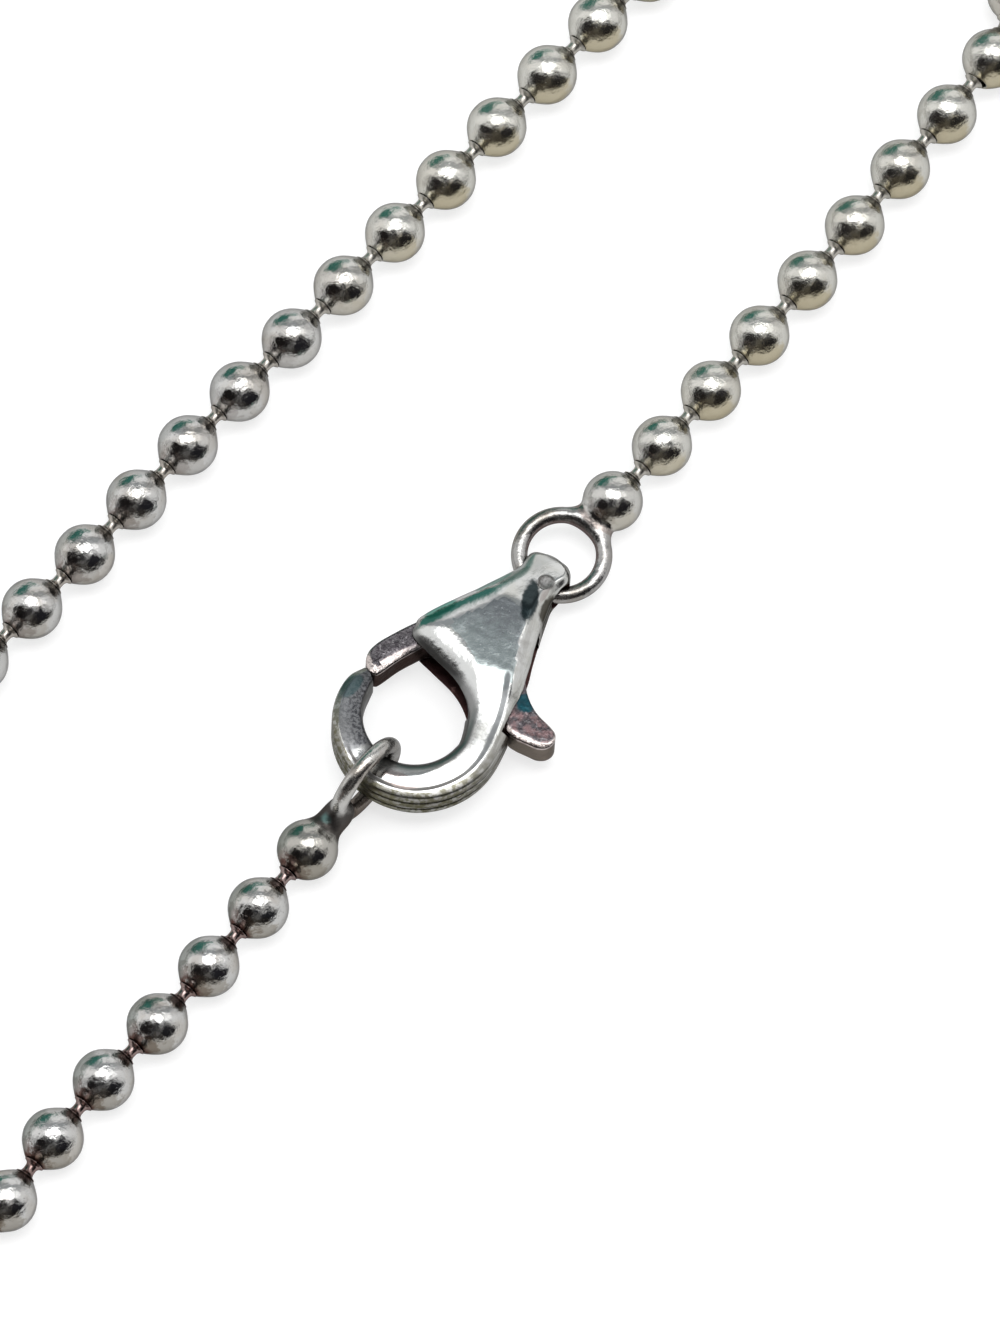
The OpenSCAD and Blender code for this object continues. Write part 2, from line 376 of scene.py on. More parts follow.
def drilled_ball(at, middle, way):
    """Distances from a soldered ball's middle: in all, along the chain, and aside from its line."""
    off = at - np.array(middle)
    reach = off @ np.array(way)
    aside = np.linalg.norm(off - reach[..., None] * np.array(way), axis=-1)
    return np.linalg.norm(off, axis=-1), reach, aside


def blob(at, start, end, r_start, r_end):
    """Distances to a rod between two places whose radius changes on the way."""
    way = np.array(end) - np.array(start)
    share = np.clip(((at - np.array(start)) @ way) / (way @ way), 0, 1)
    near = np.array(start) + share[..., None] * way
    return np.linalg.norm(at - near, axis=-1) - (r_start + (r_end - r_start) * share)


def cast(field, low, high, step):
    """Points and faces where a field of distances is nought, each point drawn on to it exactly."""
    low = np.array(low, float)
    counts = [int(math.ceil((b - a) / step)) + 1 for a, b in zip(low, high)]
    index = np.stack(np.meshgrid(*[np.arange(n) for n in counts], indexing="ij"), -1)
    within = field(low + index * step) < 0
    full = np.zeros([n - 1 for n in counts], int)
    for i in (0, 1):
        for j in (0, 1):
            for k in (0, 1):
                full += within[i:counts[0] - 1 + i, j:counts[1] - 1 + j, k:counts[2] - 1 + k]
    crossed = (full > 0) & (full < 8)
    number = np.full(crossed.shape, -1)
    number[crossed] = np.arange(crossed.sum())
    points = low + (np.argwhere(crossed) + 0.5) * step
    small = step * 0.02
    for _ in range(5):
        here = field(points)
        slope = np.stack([(field(points + s) - field(points - s)) / (2 * small)
                          for s in np.eye(3) * small], -1)
        points = points - (here / np.maximum((slope ** 2).sum(-1), 0.05))[:, None] * slope
    faces = []
    for axis in range(3):
        u, v = [a for a in range(3) if a != axis]
        turn = 1 if axis != 1 else -1
        a = np.take(within, range(counts[axis] - 1), axis)
        b = np.take(within, range(1, counts[axis]), axis)
        for sign, edge in ((1, a & ~b), (-1, ~a & b)):
            cells = np.argwhere(edge)
            inner = (cells[:, u] > 0) & (cells[:, v] > 0)
            inner &= (cells[:, u] < counts[u] - 1) & (cells[:, v] < counts[v] - 1)
            cells = cells[inner]
            corners = []
            for du, dv in ((1, 1), (0, 1), (0, 0), (1, 0)):
                c = cells.copy()
                c[:, u] -= du
                c[:, v] -= dv
                corners.append(number[c[:, 0], c[:, 1], c[:, 2]])
            quads = np.stack(corners, 1)
            faces.append(quads if sign * turn > 0 else quads[:, ::-1])
    return points, [tuple(int(i) for i in face) for face in np.concatenate(faces)]


clasp_ring_at = Vector((68.302, -0.894, 1.42))
lean_about = math.radians(-50)
lean = math.radians(4)
clasp_ring_axis = Matrix.Rotation(lean_about, 3, "Z") @ Matrix.Rotation(lean, 3, "X") @ Vector((0, 0, 1))
chain_way = (middles[1] - middles[0]).normalized()


def opened(whole, ball, reach, aside):
    """The form with a lip about its ball's hole, and the ball hollow."""
    whole = melt(whole, np.hypot(aside - lip_out, reach - lip_along) - lip_r, 0.08)
    hollow = np.minimum(ball - shell_r, np.maximum(aside - hole_r, -reach))
    return hard_cut(whole, -hollow, 0.03)


def clasp_ring_form(at):
    """Distances to the ring, its ball, and the fillet of solder that lies across the joint."""
    ball, reach, aside = drilled_ball(at, middles[0], chain_way)
    solder_way = (clasp_ring_at - middles[0]).normalized()
    across = Vector((0, 0, 1)).cross(solder_way)
    joint = middles[0] + solder_way * 1.6
    solder = blob(at, joint - across * 0.72, joint + across * 0.72, 0.37, 0.37)
    whole = melt(torus(at, clasp_ring_at, clasp_ring_axis), solder, 0.5)
    return opened(melt(whole, ball - ball_r, 0.5), ball, reach, aside)


def soldered_piece(name, form, low, high, middle, way):
    """A ring with its ball, made in one: each point of the ball knows how near its hole it is."""
    grid = 0.055
    piece = smooth_piece(name, *cast(form, low, high, grid))
    at = np.array([v.co for v in piece.data.vertices]) / MM
    _, reach, aside = drilled_ball(at, middle, way)
    layer = piece.data.attributes.new("by_bar", "FLOAT", "POINT")
    layer.data.foreach_set("value", (by_hole(aside) * (reach > 0.9)).astype(np.float32))
    return piece


clasp_ring = soldered_piece(
    "clasp_end_ring_soldered", clasp_ring_form, (65.55, -3.7, -0.15), (73.85, 1.85, 3.2),
    middles[0], chain_way)


def ball_of(f, at, middle, plain, colour, rough):
    """The soldered ball has the polish, the tarnish and the painted reflections of the chain's other balls.
    """
    on_ball = 1 - f.step(f.far_from(at, middle), ball_r + 0.03, ball_r + 0.25)
    polished = ball_marks(f, at, plain, rough)[0]
    return f.mix(on_ball, colour, polished), rough - on_ball * 0.12


def ring_marks(f, at, colour, rough):
    """The wire's inner side is darkened as painted shade, and the foot of the solder is browner than the
    rest.
    """
    colour, rough = ball_of(f, at, middles[0], (0.42, 0.415, 0.405, 1), colour, rough)
    ragged = f.noise(at, 2.2, 4.0, 0.65) - 0.5
    from_middle = f.far_from(at, clasp_ring_at) + ragged * 0.35
    # Painted shade: the inner side of the wire is darkened dark brown
    inner = 1 - f.step(from_middle, ring_r - 0.42, ring_r - 0.16)
    foot = 1 - f.step(abs(f.far_from(at, middles[0]) - 1.78) + ragged * 0.2, 0.08, 0.24)
    colour = f.mix(inner * 0.85, colour, (0.09, 0.06, 0.055, 1))
    return f.mix(foot * 0.45, colour, (0.16, 0.11, 0.09, 1)), rough


clasp_ring.data.materials.append(metal(
    "ring_wire", plain=(0.3, 0.295, 0.29, 1), warm=(0.2, 0.18, 0.155, 1), dark=(0.07, 0.055, 0.045, 1),
    dull=0.2, grain=0.6, speckle=0.9, marks=ring_marks))
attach(clasp_ring, "necklace")
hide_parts("clasp_end_ring")


# ---- Ring at the hook end ----
# A second jump ring of the same wire stands on edge round the hook. A cone of solder holds it to the
# ball at that end of the chain.
hook_ring_at = Vector((52.7, -1.468, 2.5))
hook_ring_axis = Vector((math.sin(math.radians(1)), -math.cos(math.radians(1)), 0))
hook_way = (middles[-2] - middles[-1]).normalized()
cone_way = (hook_ring_at - middles[-1]).normalized()


def hook_ring_form(at):
    """Distances to the ring, its ball, and the cone of solder between them."""
    ball, reach, aside = drilled_ball(at, middles[-1], hook_way)
    solder = blob(at, middles[-1] + cone_way * 1.2, middles[-1] + cone_way * 2.5, 0.84, 0.62)
    whole = melt(torus(at, hook_ring_at, hook_ring_axis), solder, 0.7)
    return opened(melt(whole, ball - ball_r, 0.3), ball, reach, aside)


hook_ring = soldered_piece(
    "hook_end_ring_soldered", hook_ring_form, (46.65, -3.1, -0.15), (55.4, 0.3, 5.15),
    middles[-1], hook_way)


def hook_ring_marks(f, at, colour, rough):
    """The solder's neck is painted nearly black as shade, with a painted teal glint, and the lower part of
    the wire is painted brown as shade.
    """
    colour, rough = ball_of(f, at, middles[-1], (0.34, 0.33, 0.305, 1), colour, rough)
    ragged = f.noise(at, 2.4, 4.0, 0.65) - 0.5
    # Painted shade: the solder's neck, in the pocket between the wire and the ball, is darkened nearly
    # black
    neck_at = middles[-1] + cone_way * 1.95
    neck = 1 - f.step(f.far_from(at, neck_at) + ragged * 0.6, 1.0, 1.45)
    colour = f.mix(neck * 0.9, colour, (0.034, 0.029, 0.027, 1))
    rough = rough + neck * 0.2
    # Painted reflection: a teal glint on the neck
    teal_glint = f.far_from(at, neck_at + Vector((-0.35, 0.1, 0.6)))
    colour = f.mix((1 - f.step(teal_glint + ragged * 0.3, 0.1, 0.4)) * 0.65, colour, (0.1, 0.2, 0.19, 1))
    # Painted shade: the lower part of the wire, by its height, is darkened brown
    across, _, high = f.split(at)
    low = 1 - f.step(high + ragged * 1.5, 1.0, 2.6)
    past = f.step(across, 49.6, 50.2)
    return f.mix(low * past * 0.8, colour, (0.1, 0.075, 0.06, 1)), rough


hook_ring.data.materials.append(metal(
    "browned_ring_wire", plain=(0.44, 0.435, 0.42, 1), warm=(0.24, 0.21, 0.18, 1),
    dark=(0.05, 0.038, 0.034, 1), dull=0.2, grain=0.6, speckle=0.7, marks=hook_ring_marks))
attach(hook_ring, "necklace")
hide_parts("hook_end_ring")


# ---- Clasp ----
# The claw is cast in silver and polished: a bail at one end, a flat-faced body slotted from side to
# side for the lever, and a round hook. Its outer side wall keeps the casting's fine seam.
clasp_at = Vector((53.3, -3.453, 2.32))
clasp_heading = math.radians(11.7 - 90)
clasp_tip = math.radians(-4)
clasp_turn = Matrix.Rotation(clasp_heading, 4, "Z") @ Matrix.Rotation(clasp_tip, 4, "X")
in_clasp = Matrix.Translation(clasp_at * MM) @ clasp_turn
half_thick = 1.6

# From the bail to the hook: the outer and inner edges, share of the thickness, how far in from the
# inner edge its roll ends, how far in from the outer edge the ridge lies, the fall between the two,
# and whether the face is flat and whether it is left matt
clasp_stations = [
    # outer x, y, inner x, y, thick, roll, ridge, fall, flat, matt
    (0.62, 14.86, 0.1, 14.86, 0.16, 0.16, 0.16, 0, 0, 0),
    (1.05, 14.74, -0.3, 14.78, 0.38, 0.36, 0.28, 0, 0, 0),
    (1.36, 14.52, -0.6, 14.64, 0.5, 0.42, 0.3, 0, 0, 0),
    (1.57, 14.2, -0.8, 14.38, 0.6, 0.46, 0.32, 0, 0, 0),
    (1.64, 13.8, -0.88, 13.95, 0.665, 0.6, 0.34, 0, 0, 0),
    (1.52, 13.25, -0.95, 13.42, 0.735, 0.85, 0.45, 0, 0, 0),
    (1.4, 12.6, -1.32, 12.7, 0.83, 1.1, 0.6, 0, 0, 0),
    (1.5, 11.9, -1.8, 11.9, 0.925, 1.3, 0.75, 0, 0, 0),
    (1.6, 11.35, -2.12, 11.35, 0.993, 1.4, 0.82, 0, 0.3, 0),
    (1.72, 10.8, -2.5, 10.8, 1, 1.4, 0.88, 0, 1, 0),
    (2, 9.6, -3.3, 9.6, 1, 1.35, 0.9, 0, 1, 0),
    (2.2, 8.9, -3.75, 8.8, 1, 1.35, 0.85, 0, 1, 0),
    (2.35, 8.2, -4.05, 8, 0.995, 1.55, 0.78, 0, 1, 0),
    (2.48, 7.7, -3.6, 7.25, 0.985, 1.75, 0.72, 0, 1, 0),
    (2.6, 7.2, -2.3, 6.75, 0.95, 1.8, 0.68, 0.06, 0.6, 0),
    (2.75, 6.5, -0.95, 6.25, 0.875, 1.6, 0.62, 0.16, 0.2, 0),
    (2.92, 5.7, 0.1, 5.6, 0.82, 1.0, 0.6, 0.22, 0, 0),
    (3.04, 4.8, 0.7, 4.85, 0.79, 0.62, 0.6, 0.26, 0, 0),
]
# The row at the shoulder, where the inner edge turns from the body's side into the eye
corner_station = 12
# The table's columns after those of the two edges
thick, roll, ridge, fall, flat_face, left_matt = range(4, 10)
hook_middle = (-1.33, 3.7)
hook_r = 3.4
hook_end = 199
hook_table = [
    # angle round the hook, width across it, thick, roll, ridge, fall, matt
    (0, 2.05, 0.78, 0.52, 0.56, 0.27, 0),
    (35, 2.05, 0.76, 0.6, 0.5, 0.28, 0),
    (60, 2.05, 0.72, 0.85, 0.42, 0.28, 0),
    (90, 1.95, 0.65, 1.05, 0.38, 0.26, 0),
    (112, 1.86, 0.62, 0.95, 0.38, 0.2, 0),
    (128, 1.7, 0.62, 0.24, 0.42, 0, 1),
    (180, 1.35, 0.62, 0.2, 0.4, 0, 1),
    (192, 1.15, 0.57, 0.2, 0.35, 0, 1),
    (199, 0.84, 0.44, 0.16, 0.3, 0, 1),
]
columns = list(zip(*hook_table))
for turn in np.linspace(0, hook_end, 17):
    width, *rest, matt = [float(np.interp(turn, columns[0], c)) for c in columns[1:]]
    out = np.array((math.cos(math.radians(turn)), -math.sin(math.radians(turn))))
    outer = np.array(hook_middle) + (hook_r + width / 2) * out
    inner = np.array(hook_middle) + (hook_r - width / 2) * out
    clasp_stations.append((*outer, *inner, *rest, 0, matt))


def flowing(rows, per):
    """A smooth run of rows through the given ones."""
    rows = np.array(rows, float)
    rows = np.vstack([2 * rows[0] - rows[1], rows, 2 * rows[-1] - rows[-2]])
    run = []
    for a, b, c, d in zip(rows, rows[1:], rows[2:], rows[3:]):
        for t in np.arange(per) / per:
            run.append(b + t * (c - a) / 2 + t * t * (2 * a - 5 * b + 4 * c - d) / 2
                       + t ** 3 * (3 * b - a - 3 * c + d) / 2)
    return np.array(run + [rows[-2]])


def off_edge(edge, at):
    """How far places are from an edge, and how far along the edge their nearest point is."""
    start, way = edge[:-1], edge[1:] - edge[:-1]
    share = ((at[:, None] - start) * way).sum(-1) / np.maximum((way ** 2).sum(-1), 1e-9)
    share = share.clip(0, 1)
    off = np.linalg.norm(at[:, None] - start - share[..., None] * way, axis=-1)
    best = off.argmin(1)
    each = np.arange(len(at))
    return off[each, best], best + share[each, best]


per_station = 6
stations = flowing(clasp_stations, per_station)
count = len(stations)
corner = corner_station * per_station
# Share of the way across a section, denser towards its two edges
across = np.array([0, 0.004, 0.01, 0.02, 0.035, 0.055, 0.08, 0.11, 0.145, 0.185, 0.225, 0.265, 0.305,
                   0.345, 0.385, 0.425, 0.465, 0.505, 0.545, 0.58, 0.61, 0.64, 0.665, 0.69, 0.715,
                   0.74, 0.765, 0.79, 0.82, 0.85, 0.88, 0.91, 0.935, 0.96, 0.98, 0.993, 1])
outer_edge, inner_edge = stations[:, 0:2], stations[:, 2:4]
face = (inner_edge[:, None] + (outer_edge - inner_edge)[:, None] * across[None, :, None]).reshape(-1, 2)
# Share of the height against the share of the roll's width, and the same for the ridge's slope
roll_shape = [(0, 0.32), (0.03, 0.5), (0.09, 0.62), (0.2, 0.735), (0.36, 0.835), (0.54, 0.912),
              (0.72, 0.96), (0.88, 0.989), (1, 1)]
slope_shape = [(0, 0.5), (0.04, 0.62), (0.12, 0.7), (0.3, 0.785), (0.52, 0.87), (0.74, 0.95),
               (0.87, 0.988), (1, 1)]
# Round the hook the ridge is a narrow flat land with a sharper edge
land_shape = [(0, 0.68), (0.04, 0.79), (0.1, 0.855), (0.2, 0.895), (0.5, 0.945), (0.8, 0.982),
              (0.92, 0.995), (1, 1)]


def eased(shape, at):
    """A curve through a table's points, with no corners."""
    x, y = np.array(shape).T
    fine = np.linspace(0, 1, 401)
    line = np.interp(fine, x, y)
    blur = np.hanning(27)[1:-1]
    soft = np.convolve(np.pad(line, len(blur) // 2, mode="edge"), blur / blur.sum(), mode="valid")
    keep = np.clip(fine * 12, 0, 1)
    return np.interp(at, fine, line * (1 - keep) + soft * keep)


def column(index, along_edge):
    """A column of the stations' table, read at places along the claw."""
    return np.interp(along_edge, np.arange(count), stations[:, index])


off_side, side_at = off_edge(inner_edge[:corner + 1], face)
off_eye, eye_at = off_edge(inner_edge[corner:], face)
off_out, out_at = off_edge(outer_edge, face)
section_at = np.repeat(np.arange(count), len(across))
ridge_wide = column(ridge, out_at)
roll_wide = column(roll, eye_at + corner)
station = out_at / per_station
side_share = np.minimum(off_side / column(roll, side_at), 1.3)
eye_share = np.minimum(off_eye / roll_wide, 1.3)
rolled = melt(side_share, eye_share, 0.35)
# From the roll the hook's face falls outwards, and it is level again for a last narrow strip
strip_wide = np.interp(station, (12, 17, 20, 23), (0.32, 0.26, 0.16, 0.19))
strip = melt(off_out - ridge_wide - strip_wide, 0, 0.12)
beyond = hard_cut(off_eye + strip - roll_wide * 0.95, 0, 0.45).clip(0, 1.2)
edge_share = (off_out / ridge_wide).clip(0, 1)
on_land = np.interp(station, (16, 20), (0, 1))
edge_height = eased(slope_shape, edge_share) * (1 - on_land) + eased(land_shape, edge_share) * on_land
height = eased(roll_shape, rolled.clip(0, 1)) * edge_height * column(thick, section_at) * half_thick
height = height - column(fall, section_at) * beyond
# Where the finish and the painted shade change: the flat face, the matt band, the outer slope, the rim of
# the eye, the strip
flat = ((rolled > 0.97) & (off_out > ridge_wide * 0.9)) * column(flat_face, section_at)
matt = ((off_eye > 0.12) & (off_out > ridge_wide * 0.85)) * column(left_matt, section_at)
slope = (off_out < ridge_wide * 0.8) * np.interp(station, (14, 20), (0.35, 0.8))
eye_station = eye_at / per_station + corner_station
rim = np.interp(eye_station, (12, 15, 18, 22, 25), (0.55, 0.75, 1.0, 1.0, 1.1))
unpolished_and_shaded = (1 - off_eye / rim).clip(0, 1)
on_strip = (1.4 - np.abs(off_out - ridge_wide - strip_wide * 0.5) / (strip_wide * 0.6)).clip(0, 1)
on_strip = on_strip * np.interp(station, (12, 12.8, 27, 29), (0, 1, 1, 0))
height, flat, matt, slope, unpolished_and_shaded, on_strip = [
    values.reshape(count, -1) for values in (height, flat, matt, slope, unpolished_and_shaded, on_strip)]
face = face.reshape(count, -1, 2)

# The side wall below the slope, with the seam's groove: how far in, share of the height left there
wall = [(0, 0.86), (0, 0.74), (0.02, 0.66), (0.09, 0.59), (0.09, 0.5), (0.02, 0.43), (0, 0.36), (0, 0.18)]
# The side that lies on the table is worn a little flatter than the top
worn_under = 0.96
claw_points, claw_marks, n = [], [], 0
for row, spots, tops, *kinds in zip(stations, face, height, flat, matt, slope, unpolished_and_shaded, on_strip):
    inward = (row[2:4] - row[0:2]) / np.linalg.norm(row[2:4] - row[0:2])
    upper = [(*row[2:4], tops[0] * 0.5, 0, 0, 0, 0, 1, 0)]
    upper += [(*p, z, a, b, 0, *rest) for p, z, a, b, *rest in zip(spots, tops, *kinds)]
    upper += [(*(row[0:2] + inward * d), tops[-1] * h, 0, 0, float(0.45 < h < 0.65), 1, 0, 0)
              for d, h in wall]
    ring = [(*row[2:4], 0, 0, 0, 0, 0, 1, 0)] + upper + [(*row[0:2], 0, 0, 0, 0, 1, 0, 0)]
    ring += [(x, y, -z * worn_under, *marks) for x, y, z, *marks in reversed(upper)]
    claw_points += [p[:3] for p in ring]
    claw_marks += [p[3:] for p in ring]
    n = len(ring)
claw_faces = [(i * n + j, i * n + (j + 1) % n, (i + 1) * n + (j + 1) % n, (i + 1) * n + j)
              for i in range(count - 1) for j in range(n)]
claw_faces += [tuple(range(n)), tuple(reversed(range(len(claw_points) - n, len(claw_points))))]
clasp = smooth_piece("clasp_body_cast", claw_points, claw_faces)


def prism(name, outline, low, high):
    """A straight-sided block on an outline in millimetres, to cut with."""
    sides = len(outline)
    points = [(x, y, low) for x, y in outline] + [(x, y, high) for x, y in outline]
    faces = [tuple(reversed(range(sides))), tuple(range(sides, 2 * sides))]
    faces += [(i, (i + 1) % sides, sides + (i + 1) % sides, sides + i) for i in range(sides)]
    return smooth_piece(name, points, faces)


def rod(name, middle, way, r, length, segments=40):
    """A straight rod to cut with."""
    points, faces = lathe([(r, -length / 2), (r, length / 2)], segments, False)
    way = Vector(way)
    side = (Vector((0, 1, 0)) if abs(way.z) > 0.9 else Vector((0, 0, 1))).cross(way).normalized()
    return smooth_piece(name, points @ np.array([way, side, way.cross(side)]) + np.array(middle), faces)


def cut(piece, *tools):
    """Cuts the tools out of a piece and takes the tools away. A cut face takes its tool's finish."""
    for tool in tools:
        change = piece.modifiers.new("cut", "BOOLEAN")
        change.object, change.solver, change.material_mode = tool, "EXACT", "TRANSFER"
    done = bpy.data.meshes.new_from_object(piece.evaluated_get(bpy.context.evaluated_depsgraph_get()))
    piece.modifiers.clear()
    piece.data = done
    for tool in tools:
        bpy.data.objects.remove(tool)


slot_outline = [
    (-6, 6.1), (-6, 8.75), (-4, 8.75), (-3.2, 9.25), (-2.4, 10.1), (-0.97, 11.15), (0.3, 11.58),
    (1.3, 11.22), (1.75, 10.6), (6, 10.6), (6, 5), (2.4, 5), (0.4, 4.7), (-2, 5.6), (-4, 6.1),
]
slot_half = 0.95
pin_at = (0.3, 10.3)
nose_turn = math.radians(-44)
nose_way = np.array((math.cos(nose_turn), math.sin(nose_turn)))
nose_out = np.array((-nose_way[1], nose_way[0]))
nose_corner = np.array((-4.66, 4.89))
nose_block = [tuple(nose_corner + nose_way * s + nose_out * t)
              for s, t in ((-1.5, 0), (1.5, 0), (1.5, 1.5), (-1.5, 1.5))]
bail_hole_way = Matrix.Rotation(math.radians(-7), 3, "Z") @ Vector((1, 0, 0))
bail_hole_r = 0.76
pin_bore_r = 0.47
dimple_x, dimple_y, dimple_z = 0.78, 13.12, 1.84
dimple_r = 0.74

# Stains on the claw's face, and painted teal reflections on its upper-left edge and the nose
clasp_stains_and_reflections = [
    # x, y, half length, half width, turn, colour, amount
    (0.6, 11.72, 1.3, 0.44, 109, (0.018, 0.028, 0.031, 1), 0.97),
    (1.55, 11.95, 0.95, 0.38, 94, (0.032, 0.028, 0.02, 1), 0.9),
    # The next four rows are painted teal reflections, not stains: on the bail's and body's upper-left edge
    # and the nose's outer side
    (-0.75, 12.7, 0.9, 0.3, 60, (0.17, 0.21, 0.19, 1), 0.6),
    (-3.05, 9.3, 0.95, 0.42, 60, (0.03, 0.25, 0.19, 1), 0.72),
    (-1.55, 11.9, 1.1, 0.24, 60, (0.06, 0.2, 0.16, 1), 0.6),
    (-4.95, 3.6, 0.85, 0.42, 80, (0.035, 0.07, 0.075, 1), 0.7),
    (-1.2, -0.8, 1.6, 0.4, 0, (0.15, 0.14, 0.09, 1), 0.45),
    (-2.3, 6.75, 0.9, 0.2, -20, (0.05, 0.06, 0.08, 1), 0.5),
    (1.0, 12.5, 0.65, 0.15, 95, (0.26, 0.22, 0.21, 1), 0.5),
    (-0.5, 0.25, 0.95, 0.42, 5, (0.3, 0.25, 0.235, 1), 0.75),
]


def oval(right, up, turn, long, wide):
    """How far out a place is in an oval, squared: 0 at its middle and 1 on its edge."""
    c, s = math.cos(math.radians(turn)), math.sin(math.radians(turn))
    return ((right * c + up * s) / long) ** 2 + ((up * c - right * s) / wide) ** 2


def clasp_marks(f, at, colour, rough):
    """The flat face, dulled by grinding, with its painted dark reflection, the matt speckled band near the
    nose, painted shade on the eye's roll, the ridge's strip, the side wall and the dimple, the seam, the
    stains and painted teal reflections.
    """
    across, along, _ = f.split(at)
    ragged = f.noise(at, 2.4, 4.0, 0.6) - 0.5
    fine = f.noise(at, 14.0, 3.0, 0.6)
    # The flat face is rougher from its grinding; its colour is darkened, most towards the bail, as a
    # painted dark reflection
    face = f.step(f.carried("flat") + ragged * 0.7, 0.4, 0.6)
    face_reflection_tone = f.mix(f.step(along + ragged * 3, 8.2, 11), (0.29, 0.33, 0.33, 1), (0.18, 0.195, 0.21, 1))
    colour = f.mix(face * (fine * 0.6 + 0.55), colour, face_reflection_tone)
    # The roll about the eye is less polished, and its colour is darkened as painted shade, most along its
    # edge
    eye = f.carried("eye")
    colour = f.mix(f.step(eye + ragged * 0.3, 0.0, 0.55) * 0.8, colour, (0.13, 0.13, 0.128, 1))
    colour = f.mix(f.step(eye + ragged * 0.9, 0.75, 1.15) * 0.5, colour, (0.06, 0.05, 0.045, 1))
    # The band near the nose is left matt; the strip inside the ridge is darkened as a line of painted shade
    band = f.step(f.carried("matt") + ragged * 0.5, 0.35, 0.7)
    spots = f.step(f.noise(at, 6.0, 4.0, 0.7), 0.42, 0.6)
    colour = f.mix(band * 0.8, colour, (0.12, 0.122, 0.13, 1))
    colour = f.mix(band * spots * (f.step(eye, 0.0, 0.7) * 0.5 + 0.4), colour, (0.03, 0.03, 0.034, 1))
    # Painted shade: a thin dark line along the strip inside the ridge, browner round the hook
    strip = f.step(f.carried("strip"), 0.2, 0.8)
    ridge_line_shade = f.mix(f.step(along, 0.5, 4), (0.035, 0.03, 0.026, 1), (0.085, 0.09, 0.095, 1))
    colour = f.mix(strip * 0.85, colour, ridge_line_shade)
    # The side wall and outer slope are darkened as painted shade, with dark bands along them; the wall also
    # has mottled tarnish, dirt at the hook's bottom, and its seam
    side = f.step(f.carried("wall"), 0.0, 1.0)
    drawn = f.node("ShaderNodeVectorMath", {"operation": "MULTIPLY"}, {0: at, 1: (0.3, 0.3, 5.0)})
    shade_streaks = f.step(f.noise(drawn, 1.0, 3.0, 0.6), 0.42, 0.6)
    # Painted shade: the side wall and outer slope are darkened, with dark bands along them
    colour = f.mix(side * 0.8, colour, (0.29, 0.285, 0.265, 1))
    colour = f.mix(side * shade_streaks * 0.6, colour, (0.08, 0.07, 0.058, 1))
    mottled = f.step(f.noise(at, 1.6, 5.0, 0.7), 0.45, 0.6)
    colour = f.mix(side * mottled * 0.4, colour, (0.14, 0.13, 0.095, 1))
    dirty = f.step(f.noise(at, 3.2, 5.0, 0.7), 0.42, 0.56) * (1 - f.step(along, 1, 4))
    colour = f.mix(side * dirty * 0.85, colour, (0.09, 0.085, 0.05, 1))
    colour = f.mix(f.step(f.carried("seam"), 0.2, 0.8) * 0.85, colour, (0.03, 0.025, 0.02, 1))
    # Stains, and painted teal reflections, laid on as ragged ovals
    for x, y, long, wide, turn, tint, amount in clasp_stains_and_reflections:
        off = oval(across - x, along - y, turn, long, wide)
        colour = f.mix((1 - f.step(off + ragged * 1.1, 0.55, 1.15)) * amount, colour, tint)
    # The dimple is dull and speckled inside and darkened as painted shade, and its rim is darkened as
    # painted shade, most on the bail's side
    from_dimple = f.far_from(at, (dimple_x, dimple_y, 1.2))
    pressed = 1 - f.step(from_dimple, 0.34, 0.46)
    colour = f.mix(pressed * 0.85, colour, (0.2, 0.196, 0.192, 1))
    colour = f.mix(pressed * spots * 0.6, colour, (0.1, 0.096, 0.092, 1))
    rim = 1 - f.step(abs(from_dimple - 0.38), 0.02, 0.09)
    shaded_side = f.step((along - dimple_y) * 0.8 - (across - dimple_x) * 0.6, -0.15, 0.2)
    colour = f.mix(rim * (shaded_side * 0.6 + 0.15), colour, (0.08, 0.075, 0.07, 1))
    # The neck's left side is less polished towards the bail
    by_neck = (1 - f.step((13 - along) * 0.6 + across, -0.5, 0.1)) * f.step(along, 10.6, 12.8)
    rough = rough + face * 0.1 + band * 0.22 + side * 0.24 + strip * 0.3 + pressed * 0.45
    return colour, rough + by_neck * 0.22 + f.step(eye, 0.0, 0.5) * 0.2


def slot_shade_marks(f, at, colour, rough):
    """Painted shade, dark and reddish, over the inside of the slot, with a few lighter reddish spots."""
    light_spots = f.step(f.noise(at, 1.8, 3.0), 0.6, 0.72)
    return f.mix(light_spots * 0.7, colour, (0.4, 0.24, 0.22, 1)), rough


clasp.data.materials.append(metal(
    "cast_silver", plain=(0.5, 0.505, 0.5, 1), warm=(0.44, 0.44, 0.41, 1), dark=(0.25, 0.24, 0.23, 1),
    dull=0.07, grain=0.2, speckle=0.1, marks=clasp_marks))
# The slot's inside and the bores are painted dark as shade
slot_shade = metal(
    "shaded_slot", plain=(0.075, 0.037, 0.036, 1), warm=(0.1, 0.055, 0.048, 1), dark=(0.02, 0.01, 0.01, 1),
    dull=0.4, grain=0.5, marks=slot_shade_marks)
slot = prism("slot", slot_outline, -slot_half, slot_half)
bail_hole = rod("bail_hole", (0.35, 13.46, 0), bail_hole_way, bail_hole_r, 8)
pin_bore = rod("pin_bore", (*pin_at, 0), (0, 0, 1), pin_bore_r, 2.76)
for tool in (slot, bail_hole, pin_bore):
    tool.data.materials.append(slot_shade)
nose_end = prism("nose_end", nose_block, -4, 4)
nose_end.data.materials.append(clasp.data.materials[0])
